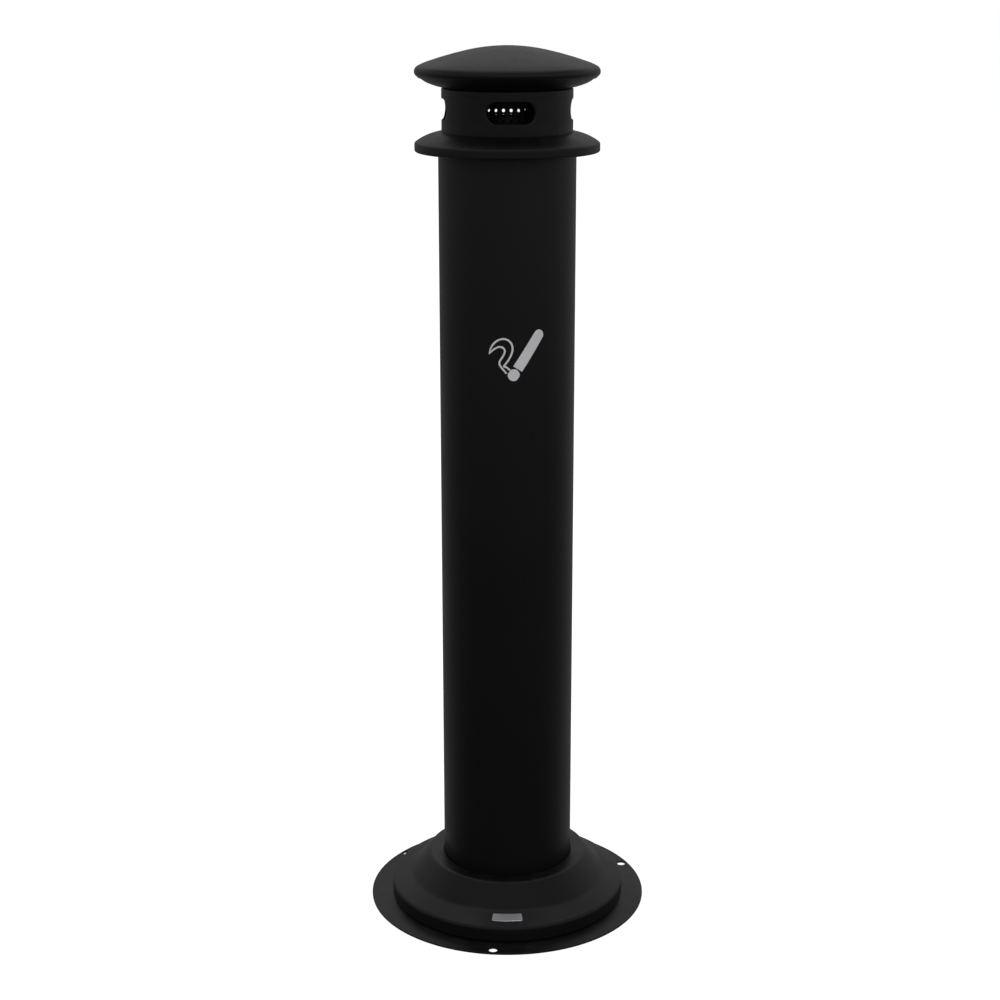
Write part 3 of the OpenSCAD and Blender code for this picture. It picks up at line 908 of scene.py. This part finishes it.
def bail_path():
    """Centre line from one pin to the other: out of the ear, a bend and half a hoop."""
    z = bail_z()
    head_half_t, bend_r = 0.4 * MM, 3 * MM
    pin_spans, bend_spans, hoop_spans = 4, 8, 80
    pin_end = high("bail_wire").x - head_half_t
    pin_w = pin_end - HOOP_R - bend_r
    right = [Vector((pin_end - pin_w * i / pin_spans, 0, z)) for i in range(pin_spans)]
    for i in range(bend_spans + 1):
        a = math.radians(-90 - 90 * i / bend_spans)
        right.append(Vector((HOOP_R + bend_r + bend_r * math.cos(a),
                             bend_r + bend_r * math.sin(a), z)))
    start = math.asin(bend_r / HOOP_R)
    hoop = []
    for i in range(1, hoop_spans):
        a = start + (math.pi - 2 * start) * i / hoop_spans
        hoop.append(Vector((HOOP_R * math.cos(a), HOOP_R * math.sin(a), z)))
    left = [Vector((-p.x, p.y, p.z)) for p in reversed(right)]
    return right + hoop + left


def bail_wire():
    """The wire, with a flattened head on each end."""
    wire_r, wire_sides, head_sides = 2 * MM, 20, 24
    path = bail_path()
    wire = sweep("BailWire", path, [wire_r] * len(path), wire_sides)
    bm = bmesh.new()
    bm.from_mesh(wire.data)
    tip, z = high("bail_wire").x, bail_z()
    # each ring of a head, in mm: how far inside the tip, and its radius
    head = ((1.0, 2.2), (0.9, 2.9), (0.6, 3.2), (0.3, 3.1), (0.08, 2.4), (0.0, 1.2))
    for side in (-1, 1):
        rows = []
        for inside, r in head:
            x = side * (tip - inside * MM)
            rows.append([bm.verts.new((x, r * MM * math.cos(a), z + r * MM * math.sin(a)))
                         for a in even_angles(head_sides)])
        rows.append([bm.verts.new((side * tip, 0, z))])
        for a, b in zip(rows, rows[1:]):
            bridge(bm, a, b)
        bm.faces.new(rows[0])
    name = wire.name
    bpy.data.objects.remove(wire)
    return finish_mesh(name, bm)


def bail_grip():
    """Rubber sleeve with rounded ends and finger ribs."""
    z = bail_z()
    sleeve_turn = math.radians(56)
    spans, sides = 120, 32
    ribs, rib_h, plain_end = 9, 0.35 * MM, 0.08  # plain_end is a share of the length
    end_r, grow_r, end_w = 3.3 * MM, 1.7 * MM, 1.6 * MM
    points, radii = [], []
    for i in range(spans + 1):
        t = i / spans
        a = math.pi / 2 + sleeve_turn * (t - 0.5)
        points.append(Vector((HOOP_R * math.cos(a), HOOP_R * math.sin(a), z)))
        from_end = min(t, 1 - t) * sleeve_turn * HOOP_R
        end = math.sqrt(max(1 - (1 - min(from_end / end_w, 1.0)) ** 2, 0.0))
        groove = 0.0
        if plain_end < t < 1 - plain_end:
            groove = rib_h * (1 - math.sqrt(abs(math.sin(math.pi * ribs * t))))
        radii.append(end_r + grow_r * end - groove)
    return sweep("BailGrip", points, radii, sides)


place(canister_shell(), "canister", ZINC_DIP, "canister_shell")
place(canister_base(), "canister", ZINC_DIP, "canister_base")
place(bail_wire(), "bail", ZINC, "bail_wire")
place(bail_grip(), "bail", RUBBER, "bail_grip")


# ---------------------------------------------------------------- nodes kept from the frame
def keep(node, material, ease=0.0):
    """A CAD node that stays: its material, and an eased edge where its corners are sharp."""
    kept = frame["nodes"][node]
    kept.data.materials.clear()
    kept.data.materials.append(material)
    if ease:
        bevel = kept.modifiers.new("eased_edges", "BEVEL")
        bevel.width = ease
        bevel.segments = 2
        bevel.limit_method = "ANGLE"
        bevel.angle_limit = math.radians(50)


keep("stub_screen", SOOTY)
keep("foot_disc", PRIMED, 0.4 * MM)
keep("foot_studs", ZINC, 0.5 * MM)
keep("foot_washers", ZINC, 0.2 * MM)
keep("foot_nuts", ZINC, 0.4 * MM)
keep("handle_ears", ZINC_DIP, 0.25 * MM)
keep("ear_rivets", ALUMINIUM, 0.3 * MM)


# ---------------------------------------------------------------- floor, light and camera
def studio_floor():
    """A pale floor just under the bin. Only the camera sees it, so it casts no light back."""
    half, sink, glow = 12.0, 0.2 * MM, 0.93
    bm = bmesh.new()
    corners = [bm.verts.new((x * half, y * half, -sink))
               for x, y in ((-1, -1), (1, -1), (1, 1), (-1, 1))]
    bm.faces.new(corners)
    floor = finish_mesh("studio_floor", bm)
    n = Nodes("pale_floor")
    tint = n.noise(3.0, 2.0, 0.5)
    colour = n.mix(tint, (0.90, 0.90, 0.90), (0.93, 0.93, 0.93))
    n.plug(colour, n.shader.inputs["Emission Color"])
    n.plug(glow, n.shader.inputs["Emission Strength"])
    floor.data.materials.append(n.finish(colour, 0.9))
    floor.visible_glossy = False
    floor.visible_diffuse = False


def studio_world():
    """White to the camera. To the object: bright behind, dim in front and below."""
    world = bpy.data.worlds.new("studio")
    world.use_nodes = True
    bpy.context.scene.world = world
    world.node_tree.nodes.clear()
    w = Tree(world.node_tree)
    direction = w.add("ShaderNodeSeparateXYZ")
    w.plug(w.add("ShaderNodeTexCoord").outputs["Generated"], direction.inputs["Vector"])
    to_right, to_back, to_top = (direction.outputs[axis] for axis in "XYZ")

    # two vertical gradients, one for the front of the room and one for the back
    blend = w.add("ShaderNodeMix", data_type="FLOAT")
    w.plug(w.spread(to_back, (-0.15, 0.9), (0.0, 1.0)), blend.inputs["Factor"])
    w.plug(w.spread(to_top, (-0.14, -0.01), (0.07, 0.36)), blend.inputs["A"])
    w.plug(w.spread(to_top, (0.05, 0.65), (0.27, 0.70)), blend.inputs["B"])
    # a little brighter to the right, and darker straight overhead
    rightwards = w.spread(to_right, (-1.0, 1.0), (0.92, 1.12))
    overhead = w.spread(to_top, (0.55, 0.95), (1.0, 0.42))
    even = w.maths("MULTIPLY", blend.outputs["Result"], rightwards)
    even = w.maths("MULTIPLY", even, overhead)
    # high up, brighter along the middle, darker to the sides and darkest to the right
    high_up = w.spread(to_top, (0.42, 0.62), (0.0, 1.0))
    sideways = w.maths("MULTIPLY", to_right, to_right)
    strip = w.maths("SUBTRACT", w.spread(sideways, (0.03, 0.5), (0.12, -0.26)),
                    w.spread(to_right, (-0.15, 0.3), (0.0, 0.22)))
    level = w.maths("ADD", even, w.maths("MULTIPLY", even, w.maths("MULTIPLY", high_up, strip)))

    seen = w.add("ShaderNodeBackground")
    w.plug((1.0, 1.0, 1.0, 1.0), seen.inputs["Color"])
    lit = w.add("ShaderNodeBackground")
    w.plug(level, lit.inputs["Strength"])
    choose = w.add("ShaderNodeMixShader")
    w.plug(w.add("ShaderNodeLightPath").outputs["Is Camera Ray"], choose.inputs["Fac"])
    w.plug(lit.outputs["Background"], choose.inputs[1])
    w.plug(seen.outputs["Background"], choose.inputs[2])
    w.plug(choose.outputs["Shader"], w.add("ShaderNodeOutputWorld").inputs["Surface"])


def softbox(name, at, target, size, watts):
    """A rectangular lamp aimed at a target. The camera doesn't see it."""
    light = bpy.data.lights.new(name, "AREA")
    light.shape = "RECTANGLE"
    light.size, light.size_y = size
    light.energy = watts
    lamp = bpy.data.objects.new(name, light)
    lamp.location = at
    lamp.rotation_euler = (Vector(target) - Vector(at)).to_track_quat("-Z", "Y").to_euler()
    bpy.context.scene.collection.objects.link(lamp)
    lamp.visible_camera = False
    return lamp


def graphics_light():
    """A fill that only the pale graphics receive."""
    fill = softbox("graphics_fill", (0.3, -2.2, 1.9), (0.0, 0.0, 0.4), (1.2, 1.2), 22)
    receivers = bpy.data.collections.new("pale_graphics")
    for piece in (DECAL, LABEL):
        receivers.objects.link(piece)
    fill.light_linking.receiver_collection = receivers


def camera():
    """Eye level just above the cap, looking down the post."""
    down = 15.69
    lens = bpy.data.cameras.new("camera")
    lens.sensor_width = 36.0
    lens.lens = 68.9
    lens.shift_x = -0.0073
    eye = bpy.data.objects.new("camera", lens)
    eye.location = (0.0, -2.096, 1.075)
    eye.rotation_euler = (math.radians(90 - down), 0.0, 0.0)
    bpy.context.scene.collection.objects.link(eye)
    bpy.context.scene.camera = eye


studio_floor()
studio_world()
softbox("overhead", (0.0, 0.2, 3.2), (0.0, 0.0, 0.5), (3.0, 2.4), 12)
graphics_light()
camera()
bpy.context.scene.view_settings.view_transform = "Standard"
